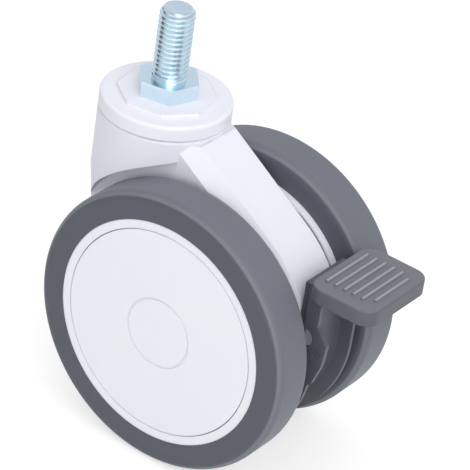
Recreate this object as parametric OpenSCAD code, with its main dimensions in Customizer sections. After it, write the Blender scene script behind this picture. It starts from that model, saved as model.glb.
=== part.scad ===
// Swivel castor with twin wheels, a threaded stem and a foot pedal.
// Millimetres. The origin is the centre of the hexagon's top face, where the castor meets what it carries.
// +Z runs up the stem, +X points from the swivel axis towards the pedal, and Y lies along the axle.

/* [Stem] */
// Outer diameter of the stem's thread
stem_d = 12; // [10:0.5:14]
// Length of the stem above the seat
stem_len = 25.5; // [20:0.1:40]
// Width of the hexagon across its flats
hex_af = 19; // [17:0.5:22]
// Height of the hexagon
hex_h = 5.6; // [4.5:0.1:7]
// Direction of the hexagon's first corner
hex_turn = 12; // [0:1:59]
// Chamfer at the stem's tip
tip_chamfer = 1.3; // [0.5:0.1:2]
// Diameter of the shank that turns in the head
shank_d = 16; // [14:0.5:17]

/* [Swivel head] */
// Height of the seat above the floor
seat_h = 121.6; // [120:0.1:125]
// Distance from the swivel axis to the axle
trail_len = 31.65; // [30:0.05:34]
// Diameter of the head
head_d = 44.8; // [44:0.2:47]
// Height of the cap's side
cap_h = 5.25; // [4.5:0.05:6]
// Width of the seam between the cap and the head
cap_gap = 0.5; // [0.3:0.1:0.8]
// Thickness of the cap's walls
cap_wall = 2.3; // [1.5:0.1:3]
// Rounding of the cap's upper edge
cap_round = 1.2; // [0.5:0.1:2]
// Width of the raised octagon on the cap across its flats
octagon_af = 31.5; // [28:0.5:36]
// Direction of the octagon's first flat
octagon_turn = 9; // [0:1:44]
// Height of the raised octagon
octagon_h = 1.3; // [0.8:0.1:1.8]
// Height of the head's straight part
head_straight = 23; // [18:0.5:26]
// Taper of the head below its straight part
head_taper = 6.3; // [4:0.1:8]

/* [Swivel bearing] */
// Diameter of the swivel balls
swivel_ball_d = 4; // [3.5:0.1:4.2]
// Number of swivel balls
swivel_ball_n = 14; // [8:1:16]
// Outer diameter of the races
race_d = 34; // [33:0.5:35]
// Depth of the lower race's seat below the head's top
race_depth = 9; // [8.8:0.1:9.2]
// Depth of the shank's bore below the head's top
bore_depth = 42.5; // [38:0.5:44]
// Length of the lower bush
bush_len = 10; // [6:0.5:14]
// Wall of the lower bush
bush_wall = 2.4; // [1.5:0.1:3]

/* [Fork] */
// Width of the fork between the wheels
fork_w = 28; // [27.5:0.25:29]
// Width of the flat crest on the arm and the drum
crest_w = 18.8; // [14:0.2:22]
// Depth of the sloping flanks beside the crest
flank_h = 5.2; // [4:0.1:6.5]
// Diameter of the drum around the axle
drum_d = 86.6; // [86:0.2:87.4]
// Slope of the arm's crest
arm_tilt = 33.5; // [32:0.5:36]
// Space between the tyre and the wheel well
well_gap = 3.5; // [2.5:0.1:4.5]
// Direction of the plane that trims the head's back
stern_dir = 212; // [208:1:216]

/* [Wheels] */
// Diameter of the wheels
wheel_d = 100; // [98:0.5:104]
// Width of each tyre
tyre_w = 17; // [16.5:0.25:20]
// Distance between the two wheels
wheel_gap = 33.4; // [32.6:0.1:35]
// Thickness of the tyre from the rim to the tread
tyre_t = 9.75; // [8:0.25:11]
// Rounding of the tyre's shoulders
shoulder_r = 3.3; // [2:0.1:5]
// How far the hub's outer face lies inside the tyre's
hub_inset = 0.35; // [0.1:0.05:1]
// Width of the hub's ring around the cover
hub_ring_w = 3.05; // [2.5:0.05:4]
// Thickness of the cover disc
cover_t = 2.5; // [2:0.1:3]
// Fine gap around the cover disc
cover_gap = 0.3; // [0.2:0.05:0.5]
// Diameter of the circle on the cover
circle_d = 25.4; // [18:0.2:40]
// Thickness of the hub's rim
rim_t = 4.25; // [3.6:0.05:5]
// Number of ribs behind the cover
rib_n = 8; // [5:1:12]

/* [Axle and wheel bearings] */
// Diameter of the axle
axle_d = 10; // [8:0.5:11]
// Outer diameter of the wheel bearings
bearing_d = 26; // [24:0.5:28]
// Width of the wheel bearings
bearing_w = 8; // [7:0.25:8.5]
// Diameter of the bearing balls
bearing_ball_d = 4.6; // [3.5:0.1:5]
// Number of balls in a bearing
bearing_ball_n = 8; // [6:1:9]
// Outer diameter of the sleeves that the pedal turns on
sleeve_d = 16; // [14:0.5:17]
// Thickness of the axle's retaining rings
clip_t = 1; // [0.8:0.05:1.1]

/* [Pedal] */
// Length of the pad away from the wheels
pad_l = 25.3; // [24:0.1:30]
// Width of the pad
pad_w = 35; // [30:0.5:40]
// Thickness of the pad
pad_t = 5.5; // [4.4:0.1:6.4]
// Height of the pad's top above the axle
pad_z = 34.4; // [32:0.1:38]
// Corner radius at the pad's outer end
pad_outer_r = 5.5; // [3:0.25:8]
// Corner radius at the pad's inner end
pad_inner_r = 5.5; // [4:0.25:9]
// Rounding of the pad's upper edge
pad_edge_r = 0.7; // [0.5:0.1:1.8]
// Number of ribs on the pad
pad_rib_n = 6; // [4:1:7]
// Spacing of the ribs on the pad
pad_rib_pitch = 3.5; // [2.5:0.05:3.6]
// Height of the ribs on the pad
pad_rib_h = 0.7; // [0.4:0.05:1]
// Width of the pedal's channel
pedal_w = 24; // [22:0.25:24.5]
// Thickness of the channel's side walls
pedal_wall = 3.4; // [2.5:0.1:4]
// How far the channel's walls stand out from the drum
pedal_rise = 4; // [3.4:0.1:4.8]
// Depth of the channel's side walls
pedal_depth = 8; // [7:0.1:8.4]
// Thickness of the channel's floor
pedal_floor = 2.8; // [2:0.1:3.4]
// Thickness of the channel's walls
channel_wall = 1.5; // [1.2:0.1:2.4]
// Diameter of the pin in the pedal's ear
pin_d = 3; // [2:0.1:4]
// Angle that the pedal turns when it is pressed
press_a = 14; // [8:0.5:15]

/* [Brake] */
// Travel of the brake shoe
shoe_stroke = 2.4; // [1.5:0.1:2.6]
// Width of the brake shoe
shoe_w = 20.4; // [16:0.2:21]
// How far the shoe reaches into each wheel
shoe_reach = 4.6; // [3:0.1:6.4]

/* [Clearances] */
// Gap between parts that move past each other
run_gap = 0.3; // [0.2:0.05:0.4]
// Radial clearance of a turning fit
fit_gap = 0.08; // [0.03:0.01:0.1]
// Radial play of a ball in the race that carries it
ball_play = 0.05; // [0.02:0.01:0.1]

/* [Hidden] */
$fn = 96;

// Sides of the wheels and of all that is made in pairs
LEFT = -1;
RIGHT = 1;
over = 1;

// Heights, measured from the seat
wheel_r = wheel_d / 2;
axle_drop = seat_h - wheel_r;
cap_top = -hex_h - octagon_h;
cap_bottom = cap_top - cap_h;
head_top = cap_bottom - cap_gap;
head_r = head_d / 2;
drum_r = drum_d / 2;
stern_inset = 0.5;
stern_r = drum_r - stern_inset;
head_bottom = -axle_drop - stern_r * sin(stern_dir - 180);

// Swivel bearing
shank_r = shank_d / 2;
race_r = race_d / 2;
race_pitch = (shank_r + race_r) / 2;
swivel_ball_r = swivel_ball_d / 2;
race_split = 1.6;
race_web = 1.6;
race_back = 0.95;
race_side_gap = 0.6;
race_bore_gap = 1;
race_floor = head_top - race_depth;
ball_z = race_floor + race_web + swivel_ball_r;
lower_race_top = ball_z - race_split / 2;
upper_race_low = ball_z + race_split / 2;
upper_race_top = ball_z + swivel_ball_r + run_gap + race_back;
ring_t = 1.2;
ring_land = 1;
ring_lap = 2;
ring_low = upper_race_top + run_gap;
bore_r = shank_r + fit_gap + bush_wall;
bore_floor = head_top - bore_depth;
shank_space = 1;
shank_end = bore_floor + shank_space;

// Wheels, measured along the axle from the middle of the castor
rim_r = wheel_r - tyre_t;
rim_in_r = rim_r - rim_t;
wheel_in_y = wheel_gap / 2;
wheel_out_y = wheel_in_y + tyre_w;
hub_face_y = wheel_out_y - hub_inset;
cover_seat_y = hub_face_y - cover_t;
cover_seat_r = rim_r - hub_ring_w;
skirt_t = 1.5;
skirt_h = 3;
clip_space = 0.85;
bearing_r = bearing_d / 2;
bearing_out_y = cover_seat_y - clip_t - clip_space;
bearing_in_y = bearing_out_y - bearing_w;
bearing_pitch = (axle_d + bearing_d) / 4;
bearing_ball_r = bearing_ball_d / 2;
land_share = 0.35;
race_land = land_share * bearing_ball_d;
boss_wall = 4;
boss_r = bearing_r + boss_wall;
boss_lip = 0.8;
boss_lip_w = 2;
boss_stand = 0.4;
boss_end_y = bearing_out_y + boss_stand;
web_t = 3;
shoe_end_gap = 1.6;
web_in_y = wheel_in_y + shoe_reach + shoe_end_gap;
web_out_y = web_in_y + web_t;
rib_t = 2.4;

// Axle
axle_r = axle_d / 2;
axle_end_gap = 0.4;
axle_end_y = cover_seat_y - axle_end_gap;
clip_depth = 0.3;
clip_w = 3;
sleeve_r = sleeve_d / 2;
flange_w = 3;
flange_r = sleeve_r + flange_w;
flange_t = 1.5;

// Fork
fork_y = fork_w / 2;
crest_y = crest_w / 2;
well_r = wheel_r + well_gap;
arm_len = 46;
lip_drop = 0.6;
back_share = 0.645;
back_drop = 37;
back_rise = 20;
back_top = 25;
back_step = 0.4;
side_step = 0.1;
drum_lap_a = 3;
back = [-head_r * back_share - trail_len, head_top - back_drop + axle_drop];
back_turn = atan2(back[1], back[0]) + acos(drum_r / norm(back));

// Pedal, with angles about the axle counted from +X towards +Z, and heights from the axle
pedal_y = pedal_w / 2;
arm_y = pedal_y - pedal_wall;
wall_y = pedal_y - channel_wall;
core_y = arm_y - run_gap;
pedal_r = drum_r + pedal_rise;
pedal_in_r = pedal_r - pedal_depth;
recess_gap = 0.5;
recess_r = pedal_in_r - recess_gap;
recess_y = pedal_y + run_gap;
recess_h = 25;
tail_a = -52;
arm_low_a = -26;
arm_top_a = -1;
pocket_top_a = 2;
recess_spare_a = 3;
recess_low_a = tail_a - press_a - recess_spare_a;
arm_ring_wall = 4;
ring_r = sleeve_r + arm_ring_wall;
bed_out = pedal_in_r + pedal_floor;
neck_lap = 0.2;
neck_back = bed_out - neck_lap;
neck_step = 16;
lug_r = 2;
lug_drop = 2.8;
pad_gap = 0.5;
pad_x = drum_r + pad_gap;
pad_low = pad_z - pad_t;
bed_top = pad_low + over;
lug_top = pad_z - lug_drop;
lug_low = pad_low - lug_r;
pad_rib_reach = 11.7;
pad_rib_short = 9.4;
pad_rib_first = 3.7;
ear_gap = 0.6;
ear_x = drum_r + ear_gap;
ear_out = 4.5;
ear_top = 16.3;
ear_corner = 11;
ear_waist_out = 3.6;
ear_waist = 2.4;
ear_foot_out = 0.9;
ear_foot = -5.3;
ear_sink = 0.7;
ear_low = -7;
pin_out = 1.1;
pin_x = pedal_r + pin_out;
pin_z = 6.3;
window_r = 3.6;
window_x = 42.4;
window_z = 10.5;

// Brake shoe and the fingers of the pedal that push it
shoe_y = wheel_in_y + shoe_reach;
shoe_r = rim_in_r - run_gap;
finger_tip_r = 4;
finger_w = 6;
finger_rest_a = 35;
finger_reach = shoe_stroke / (cos(finger_rest_a - press_a) - cos(finger_rest_a));
finger_low = finger_reach * cos(finger_rest_a) + finger_tip_r;
shoe_top = finger_low + run_gap;
finger_spare_a = 5;
finger_sweep = asin(finger_tip_r / finger_reach) + finger_spare_a;
finger_end_r = finger_reach + finger_tip_r + run_gap;

// Places its children with the axle's centre at the origin
module at_axle() {
    translate([trail_len, 0, -axle_drop]) children();
}

// Turns a profile of radius and length about the axle, on one side of the castor
module turned(side) {
    at_axle() mirror([0, side < 0 ? 1 : 0, 0]) rotate([-90, 0, 0]) rotate_extrude() children();
}

// Extrudes an outline in X and Z along Y, between two places
module slab(y0, y1) {
    translate([0, y1, 0]) rotate([90, 0, 0]) linear_extrude(y1 - y0) children();
}

// Extrudes an outline equally on both sides, for the pedal's two walls or arms
module two_slabs(y0, y1) {
    slab(y0, y1) children();
    slab(-y1, -y0) children();
}

// Flat sector of a ring, from one angle to another
module ring_sector(r0, r1, a0, a1) {
    steps = ceil((a1 - a0) / 30);
    step = (a1 - a0) / steps;
    far = (r1 + over) / cos(step / 2);
    intersection() {
        difference() {
            circle(r1);
            circle(r0);
        }
        polygon(concat([[0, 0]], [for (i = [0:steps]) far * [cos(a0 + i * step), sin(a0 + i * step)]]));
    }
}

// Ring of square section, from one radius and height to another
module collar(r0, r1, z0, z1) {
    translate([0, 0, z0]) difference() {
        cylinder(r = r1, h = z1 - z0);
        translate([0, 0, -over]) cylinder(r = r0, h = z1 - z0 + 2 * over);
    }
}

// Groove that a ring of balls runs in
module ball_track(pitch, r) {
    rotate_extrude() translate([pitch, 0]) circle(r);
}

// Ring of balls
module balls(pitch, r, count) {
    for (i = [0:count - 1]) rotate([0, 0, i * 360 / count]) translate([pitch, 0, 0]) sphere(r);
}

// Stem with its hexagon, and the shank that turns in the head
module stem() {
    color("lightsteelblue") {
        cylinder(d = stem_d, h = stem_len - tip_chamfer);
        translate([0, 0, stem_len - tip_chamfer])
            cylinder(d1 = stem_d, d2 = stem_d - 2 * tip_chamfer, h = tip_chamfer);
        translate([0, 0, -hex_h]) rotate([0, 0, hex_turn])
            cylinder(d = hex_af / cos(30), h = hex_h, $fn = 6);
        translate([0, 0, shank_end]) cylinder(r = shank_r, h = -hex_h - shank_end);
    }
}

// White cap over the bearing, with a raised octagon and a boss that rests on the upper race
module cap() {
    color("whitesmoke") difference() {
        union() {
            rotate_extrude() difference() {
                union() {
                    translate([0, cap_bottom]) square([head_r, cap_h - cap_round]);
                    translate([0, cap_bottom]) square([head_r - cap_round, cap_h]);
                    translate([head_r - cap_round, cap_top - cap_round]) circle(cap_round);
                }
                translate([-over, cap_bottom - over])
                    square([head_r - cap_wall + over, cap_h - cap_wall + over]);
            }
            translate([0, 0, cap_top - cap_wall / 2])
                rotate([0, 0, octagon_turn - 22.5])
                cylinder(d = octagon_af / cos(22.5), h = cap_wall / 2 + octagon_h, $fn = 8);
            translate([0, 0, upper_race_top]) cylinder(r = shank_r + bush_wall, h = cap_top - upper_race_top);
        }
        translate([0, 0, shank_end]) cylinder(r = shank_r, h = -shank_end);
    }
}

// Upper race, pressed on the shank
module upper_race() {
    color("silver") difference() {
        collar(shank_r, race_r - race_side_gap, upper_race_low, upper_race_top);
        translate([0, 0, ball_z]) ball_track(race_pitch, swivel_ball_r + run_gap);
    }
}

// Lower race, pressed in the head
module lower_race() {
    color("silver") difference() {
        collar(shank_r + race_bore_gap, race_r, race_floor, lower_race_top);
        translate([0, 0, ball_z]) ball_track(race_pitch, swivel_ball_r + ball_play);
    }
}

// Balls between the two races
module swivel_balls() {
    color("gainsboro") translate([0, 0, ball_z]) balls(race_pitch, swivel_ball_r, swivel_ball_n);
}

// Plain bush at the foot of the shank
module bush() {
    color("khaki") collar(shank_r + fit_gap, bore_r, bore_floor, bore_floor + bush_len);
}

// Spring ring in the head's groove, which keeps the shank from lifting out
module retaining_ring() {
    slot_w = 8;
    color("dimgray") difference() {
        collar(race_r - ring_lap, race_r + ring_land, ring_low, ring_low + ring_t);
        translate([0, -slot_w / 2, ring_low - over])
            cube([race_r + 2 * ring_land, slot_w, ring_t + 2 * over]);
    }
}

// Section of the drum: a flat crest with sloping flanks and flat sides
module drum_section() {
    polygon([
        [0, -fork_y], [drum_r - flank_h, -fork_y], [drum_r, -crest_y],
        [drum_r, crest_y], [drum_r - flank_h, fork_y], [0, fork_y],
    ]);
}

// Head of the fork, straight above and tapered below, with the two wheel wells
module fork_head() {
    taper_top = head_top - head_straight;
    foot_r = head_r - (taper_top - head_bottom) * tan(head_taper);
    difference() {
        rotate([0, 0, 180]) rotate_extrude() polygon([
            [0, head_bottom], [foot_r, head_bottom], [head_r, taper_top],
            [head_r, head_top - lip_drop], [head_r - lip_drop, head_top], [0, head_top],
        ]);
        for (side = [LEFT, RIGHT]) turned(side) translate([0, fork_y + side_step]) square([well_r, head_d]);
        at_axle() rotate([0, -stern_dir, 0]) translate([stern_r, -head_d, -head_d]) cube(2 * head_d);
    }
}

// Arm that runs from the drum's crest up to the head
module fork_arm() {
    difference() {
        at_axle() rotate([0, arm_tilt - 90, 0]) linear_extrude(arm_len) drum_section();
        translate([-head_r, -fork_w, head_top - 2 * lip_drop]) cube([2 * head_r, 2 * fork_w, head_r]);
    }
}

// Drum around the axle, from the arm round to the web
module fork_drum() {
    at_axle() rotate([0, arm_tilt - 90, 0]) rotate([-90, 0, 0])
        rotate_extrude(angle = 450 - arm_tilt - back_turn + drum_lap_a) drum_section();
}

// Web that joins the head's back to the drum
module fork_web() {
    web_y = fork_y - side_step;
    at_axle() slab(-web_y, web_y) polygon([
        [sleeve_r, 0], (drum_r + back_step) * [cos(back_turn), sin(back_turn)], back,
        [back[0], back[1] + back_rise], [-trail_len, back[1] + back_top],
    ]);
}

// Recess in the drum's front for the pedal's channel and neck
module fork_recess() {
    ring_sector(recess_r, drum_r + over, recess_low_a, 0);
    translate([recess_r, 0]) square([drum_r + over - recess_r, recess_h]);
}

// Pocket in the fork's side for the pedal's arm, ring and finger
module fork_pocket() {
    circle(ring_r + 2 * run_gap);
    ring_sector(0, pedal_in_r + over, arm_low_a - press_a - recess_spare_a, pocket_top_a);
    ring_sector(0, finger_end_r, finger_rest_a - press_a - finger_sweep - 90, arm_low_a - press_a);
}

// Moulded fork: head, wheel wells, arm and drum in one piece
module fork() {
    shoe_x = shoe_w / 2 + run_gap;
    shoe_low = rim_in_r + run_gap;
    color("white") difference() {
        union() {
            fork_head();
            fork_arm();
            fork_drum();
            fork_web();
        }
        at_axle() slab(-recess_y, recess_y) fork_recess();
        at_axle() two_slabs(core_y, fork_w) fork_pocket();
        at_axle() slab(-fork_w, fork_w) translate([-shoe_x, -shoe_low])
            square([2 * shoe_x, shoe_low - shoe_top + run_gap]);
        at_axle() slab(-fork_w, fork_w) circle(axle_r);
        translate([0, 0, race_floor]) cylinder(r = race_r, h = race_depth + over);
        translate([0, 0, bore_floor]) cylinder(r = bore_r, h = bore_depth);
        translate([0, 0, ring_low]) cylinder(r = race_r + ring_land, h = ring_t);
    }
}

// Axle with a groove for a retaining ring at each end
module axle() {
    color("silver") at_axle() difference() {
        slab(-axle_end_y, axle_end_y) circle(axle_r);
        two_slabs(bearing_out_y, bearing_out_y + clip_t) difference() {
            circle(axle_r + over);
            circle(axle_r - clip_depth);
        }
    }
}

// Sleeve that spaces a wheel from the fork and carries the pedal's ring
module sleeve(side) {
    flange_y = pedal_y + run_gap;
    color("silver") turned(side) {
        translate([axle_r, core_y]) square([sleeve_r - axle_r, bearing_in_y - core_y]);
        translate([axle_r, flange_y]) square([flange_r - axle_r, flange_t]);
    }
}

// Inner ring of a wheel bearing, fixed on the axle
module bearing_inner(side) {
    mid_y = (bearing_in_y + bearing_out_y) / 2;
    color("silver") turned(side) difference() {
        translate([axle_r, bearing_in_y]) square([bearing_pitch - race_land - axle_r, bearing_w]);
        translate([bearing_pitch, mid_y]) circle(bearing_ball_r + run_gap);
    }
}

// Outer ring of a wheel bearing, fixed in the hub
module bearing_outer(side) {
    mid_y = (bearing_in_y + bearing_out_y) / 2;
    land_r = bearing_pitch + race_land;
    color("silver") turned(side) difference() {
        translate([land_r, bearing_in_y]) square([bearing_r - land_r, bearing_w]);
        translate([bearing_pitch, mid_y]) circle(bearing_ball_r + ball_play);
    }
}

// Balls of a wheel bearing
module bearing_balls(side) {
    mid_y = (bearing_in_y + bearing_out_y) / 2;
    color("gainsboro") at_axle() translate([0, side * mid_y, 0]) rotate([90, 0, 0])
        balls(bearing_pitch, bearing_ball_r, bearing_ball_n);
}

// Open spring ring that holds a wheel on the axle
module clip(side) {
    slot_w = axle_r;
    low_y = side < 0 ? -bearing_out_y - clip_t : bearing_out_y;
    color("dimgray") at_axle() slab(low_y, low_y + clip_t) difference() {
        circle(axle_r - clip_depth + clip_w);
        circle(axle_r - clip_depth);
        translate([-slot_w / 2, 0]) square([slot_w, 2 * axle_r]);
    }
}

// Grey tyre with rounded shoulders
module tyre(side) {
    color("slategray") turned(side) difference() {
        union() {
            translate([rim_r, wheel_in_y + shoulder_r]) square([tyre_t, tyre_w - 2 * shoulder_r]);
            translate([rim_r, wheel_in_y]) square([tyre_t - shoulder_r, tyre_w]);
            for (y = [wheel_in_y + shoulder_r, wheel_out_y - shoulder_r])
                translate([wheel_r - shoulder_r, y]) circle(shoulder_r);
        }
        translate([rim_r, wheel_out_y]) circle(hub_inset, $fn = 4);
    }
}

// White wheel hub: rim, web, boss with the bearing's seat, and ribs behind the cover
module hub(side) {
    rib_end_r = rim_in_r - skirt_t - 2 * run_gap;
    color("white") union() {
        turned(side) polygon([
            [bearing_r - boss_lip_w, bearing_in_y - boss_lip], [boss_r, bearing_in_y - boss_lip],
            [boss_r, web_in_y], [rim_in_r, web_in_y], [rim_in_r, wheel_in_y], [rim_r, wheel_in_y],
            [rim_r, hub_face_y], [cover_seat_r, hub_face_y], [cover_seat_r, cover_seat_y],
            [rim_in_r, cover_seat_y], [rim_in_r, web_out_y], [boss_r, web_out_y], [boss_r, boss_end_y],
            [bearing_r, boss_end_y], [bearing_r, bearing_in_y], [bearing_r - boss_lip_w, bearing_in_y],
        ]);
        at_axle() for (i = [0:rib_n - 1]) rotate([0, i * 360 / rib_n, 0])
            translate([boss_r - over, min(side * web_in_y, side * boss_end_y), -rib_t / 2])
            translate([0, side < 0 ? 0 : web_t / 2, 0])
            cube([rib_end_r - boss_r + over, boss_end_y - web_in_y - web_t / 2, rib_t]);
    }
}

// White cover disc that snaps into the hub, with one fine circle on its face
module cover(side) {
    circle_w = 0.5;
    circle_depth = 0.3;
    disc_r = cover_seat_r - cover_gap;
    skirt_r = rim_in_r - run_gap;
    color("white") turned(side) difference() {
        union() {
            translate([0, cover_seat_y]) square([disc_r, cover_t]);
            translate([skirt_r - skirt_t, cover_seat_y - skirt_h]) square([skirt_t, skirt_h + over]);
        }
        translate([circle_d / 2 - circle_w, hub_face_y - circle_depth]) square([circle_w, over]);
    }
}

// Half of the pad's section, as wide as asked, with a rounded upper edge
module pad_edge(w) {
    square([w - pad_edge_r, pad_t]);
    square([w, pad_t - pad_edge_r]);
    translate([w - pad_edge_r, pad_t - pad_edge_r]) circle(pad_edge_r);
}

// Corner of the pad, a quarter turn of its section
module pad_corner(r, start) {
    rotate([0, 0, start]) rotate_extrude(angle = 90) pad_edge(r);
}

// Pad of the pedal: rounded corners, a rounded upper edge and a row of ribs
module pad() {
    half_w = pad_w / 2;
    inner_x = pad_x + pad_inner_r;
    inner_y = half_w - pad_inner_r;
    outer_x = pad_x + pad_l - pad_outer_r;
    outer_y = half_w - pad_outer_r;
    translate([0, 0, pad_low]) {
        translate([inner_x, inner_y, 0]) pad_corner(pad_inner_r, 90);
        translate([inner_x, -inner_y, 0]) pad_corner(pad_inner_r, 180);
        translate([outer_x, -outer_y, 0]) pad_corner(pad_outer_r, 270);
        translate([outer_x, outer_y, 0]) pad_corner(pad_outer_r, 0);
        slab(-inner_y, inner_y) translate([inner_x, 0]) mirror([1, 0]) pad_edge(pad_inner_r);
        slab(-outer_y, outer_y) translate([outer_x, 0]) pad_edge(pad_outer_r);
        translate([inner_x, 0, 0]) rotate([90, 0, 90]) linear_extrude(outer_x - inner_x) {
            pad_edge(half_w);
            mirror([1, 0]) pad_edge(half_w);
        }
    }
    for (i = [0:pad_rib_n - 1]) {
        reach = i < pad_rib_n - 1 ? pad_rib_reach : pad_rib_short;
        slab(-reach, reach) translate([pad_x + pad_rib_first + i * pad_rib_pitch, pad_z]) circle(pad_rib_h);
    }
}

// Outline of the lug at the head of the neck, rounded at its upper back corner
module lug() {
    far = pad_x + pad_inner_r - neck_back;
    translate([neck_back, lug_low]) square([far, lug_top - lug_low - lug_r]);
    translate([neck_back + lug_r, lug_low]) square([far - lug_r, lug_top - lug_low]);
    translate([neck_back + lug_r, lug_top - lug_r]) circle(lug_r);
}

// Outline of the ear, which holds the pin
module ear() {
    polygon([
        [ear_x, ear_top], [pedal_r, ear_top], [pedal_r + ear_out, ear_corner],
        [pedal_r + ear_waist_out, ear_waist], [pedal_r + ear_foot_out, ear_foot],
        [pedal_r - ear_sink, ear_low], [ear_x, ear_low],
    ]);
}

// Holes in the ear and in the wall behind it
module ear_holes() {
    translate([window_x, window_z]) circle(window_r);
    translate([pin_x, pin_z]) circle(d = pin_d);
}

// Outline of the pedal's wall: side of the channel, neck and lug
module pedal_wall_outline() {
    ring_sector(pedal_in_r, pedal_r, tail_a, 0);
    polygon([
        [pedal_in_r, 0], [pedal_r, 0], [pedal_r, pad_low + over], [neck_back, pad_low + over],
        [neck_back, neck_step], [pedal_in_r, neck_step - lug_r],
    ]);
    lug();
}

// Outline of the pedal's arm: spoke, ring on the sleeve and finger for the shoe
module pedal_arm() {
    ring_sector(ring_r - over, pedal_in_r + over, arm_low_a, arm_top_a);
    difference() {
        union() {
            circle(ring_r);
            rotate(finger_rest_a - 90) translate([0, -finger_w / 2]) square([finger_reach, finger_w]);
        }
        circle(sleeve_r + fit_gap);
    }
    rotate(finger_rest_a - 90) translate([finger_reach, 0]) circle(finger_tip_r);
}

// Outline of the floor between the pedal's walls, along the channel and up the neck to the pad
module pedal_bed() {
    ring_sector(pedal_in_r, bed_out, tail_a, 0);
    translate([pedal_in_r, 0]) square([pedal_floor, bed_top]);
    translate([pedal_in_r, lug_low]) square([pad_x + pad_inner_r - pedal_in_r, bed_top - lug_low]);
}

// Grey moulded pedal: pad, neck, curved channel, ear and arms in one piece
module pedal() {
    color("gray") at_axle() {
        pad();
        slab(-arm_y, arm_y) pedal_bed();
        two_slabs(arm_y, wall_y) {
            pedal_bed();
            pedal_arm();
        }
        slab(wall_y, pedal_y) {
            pedal_wall_outline();
            pedal_arm();
        }
        slab(-pedal_y, -wall_y) difference() {
            union() {
                pedal_wall_outline();
                pedal_arm();
                ear();
            }
            ear_holes();
        }
    }
}

// Steel pin in the pedal's ear
module pedal_pin() {
    color("dimgray") at_axle() slab(-pedal_y, over - wall_y) translate([pin_x, pin_z]) circle(d = pin_d);
}

// Brake shoe: one bar through the fork, with a curved face inside both rims
module brake_shoe() {
    color("darkgray") at_axle() slab(-shoe_y, shoe_y) intersection() {
        translate([-shoe_w / 2, -rim_in_r]) square([shoe_w, rim_in_r - shoe_top]);
        translate([0, shoe_stroke]) circle(shoe_r);
    }
}

stem();
cap();
upper_race();
fork();
lower_race();
swivel_balls();
bush();
retaining_ring();
axle();
sleeve(LEFT);  // left_sleeve
sleeve(RIGHT);  // right_sleeve
bearing_inner(LEFT);  // left_bearing_inner
bearing_inner(RIGHT);  // right_bearing_inner
clip(LEFT);  // left_clip
clip(RIGHT);  // right_clip
tyre(LEFT);  // left_tyre
tyre(RIGHT);  // right_tyre
hub(LEFT);  // left_hub
hub(RIGHT);  // right_hub
cover(LEFT);  // left_cover
cover(RIGHT);  // right_cover
bearing_outer(LEFT);  // left_bearing_outer
bearing_outer(RIGHT);  // right_bearing_outer
bearing_balls(LEFT);  // left_bearing_balls
bearing_balls(RIGHT);  // right_bearing_balls
pedal();
pedal_pin();
brake_shoe();
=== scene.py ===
# %% [markdown]
# # A swivel castor with a threaded stem
# The castor has a white moulded fork, two grey-tyred wheels, a grey foot pedal
# and a zinc-plated stem. The CAD frame brings every solid at its real place, so
# this lesson only adds what the solids leave out: the finishes, the screw thread,
# the broken edges of the hexagon, the lips of the rims, the light and the camera.

# %% Load the frame
import math

import bpy
from mathutils import Matrix, Vector


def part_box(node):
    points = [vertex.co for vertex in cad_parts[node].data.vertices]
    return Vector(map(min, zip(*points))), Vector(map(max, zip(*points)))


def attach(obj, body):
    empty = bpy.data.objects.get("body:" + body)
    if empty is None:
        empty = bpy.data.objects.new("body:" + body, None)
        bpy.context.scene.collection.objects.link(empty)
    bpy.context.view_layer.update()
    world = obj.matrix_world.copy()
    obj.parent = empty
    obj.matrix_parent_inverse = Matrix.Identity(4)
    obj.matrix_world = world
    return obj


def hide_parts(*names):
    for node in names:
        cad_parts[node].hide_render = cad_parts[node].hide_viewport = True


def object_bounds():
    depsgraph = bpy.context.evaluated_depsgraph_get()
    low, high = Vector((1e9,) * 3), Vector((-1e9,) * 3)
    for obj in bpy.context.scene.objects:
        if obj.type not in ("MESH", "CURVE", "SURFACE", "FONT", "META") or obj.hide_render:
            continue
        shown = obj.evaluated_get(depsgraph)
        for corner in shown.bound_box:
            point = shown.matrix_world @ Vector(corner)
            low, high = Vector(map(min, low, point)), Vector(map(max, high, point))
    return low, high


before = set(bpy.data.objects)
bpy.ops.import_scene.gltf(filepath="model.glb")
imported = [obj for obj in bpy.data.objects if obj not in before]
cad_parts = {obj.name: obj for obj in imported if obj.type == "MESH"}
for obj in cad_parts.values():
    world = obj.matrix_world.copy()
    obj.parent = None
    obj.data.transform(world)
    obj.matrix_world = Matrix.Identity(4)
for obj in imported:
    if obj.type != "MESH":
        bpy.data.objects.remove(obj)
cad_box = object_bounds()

MM = 0.001
scene = bpy.context.scene
scene.view_settings.view_transform = "Standard"

# %% [markdown]
# ## The camera
# The picture was taken with a long lens from above the front left, and it leans
# a little. A camera can be aimed with constraints, but three plain vectors (back,
# right and up) show the turn and the lean openly, so the matrix is built from them.

# %% Aim the camera
VIEW_TURN = math.radians(32.45)
VIEW_RISE = math.radians(31.92)
VIEW_LEAN = math.radians(8.6)
VIEW_AIM = Vector((34.57, 0.0, -45.94)) * MM
VIEW_DISTANCE = 1048.55 * MM

back = Vector((math.sin(VIEW_TURN) * math.cos(VIEW_RISE),
               -math.cos(VIEW_TURN) * math.cos(VIEW_RISE),
               math.sin(VIEW_RISE)))
level = Vector((math.cos(VIEW_TURN), math.sin(VIEW_TURN), 0.0))
above = back.cross(level)
right = level * math.cos(VIEW_LEAN) + above * math.sin(VIEW_LEAN)
up = above * math.cos(VIEW_LEAN) - level * math.sin(VIEW_LEAN)

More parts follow.
